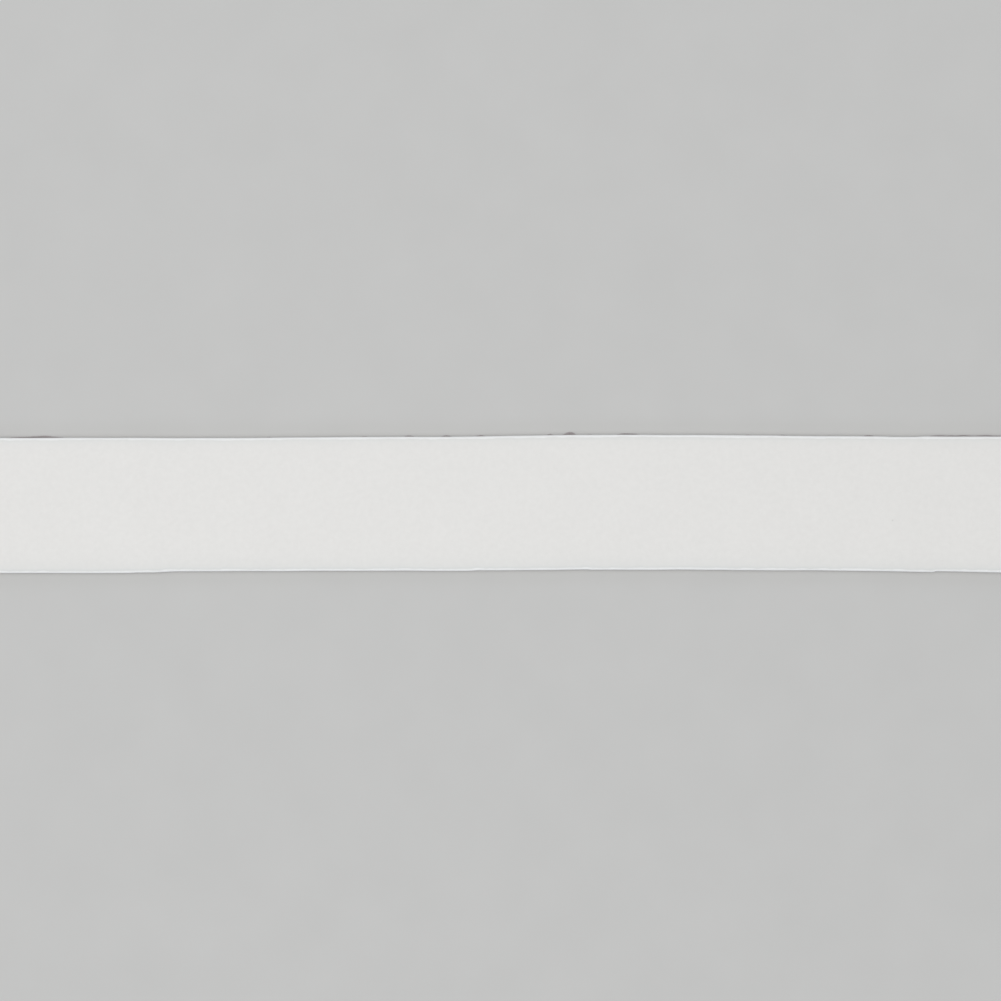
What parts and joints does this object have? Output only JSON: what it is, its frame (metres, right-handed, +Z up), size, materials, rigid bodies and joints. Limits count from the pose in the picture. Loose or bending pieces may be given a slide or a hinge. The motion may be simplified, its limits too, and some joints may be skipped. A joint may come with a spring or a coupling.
{
  "type": "faux leather trim strip",
  "caption": "Flat cut length of coated faux leather trim with a woven cloth backing and hand-cut long edges, for sewing or gluing on.",
  "frame": {"origin": "on the cloth backing's face, under the middle of the strip's outline", "axes": "+X along the strip, +Y across it, +Z up out of the coated face"},
  "size_m": [0.22, 0.0258, 0.0012],
  "materials": {
    "coated_face": "matte off-white polyurethane coating, nearly smooth",
    "cloth_backing": "plain woven cloth, greyish white"
  },
  "bodies": {
    "root": {"trim_strip": "coated_face"}
  },
  "joints": []
}
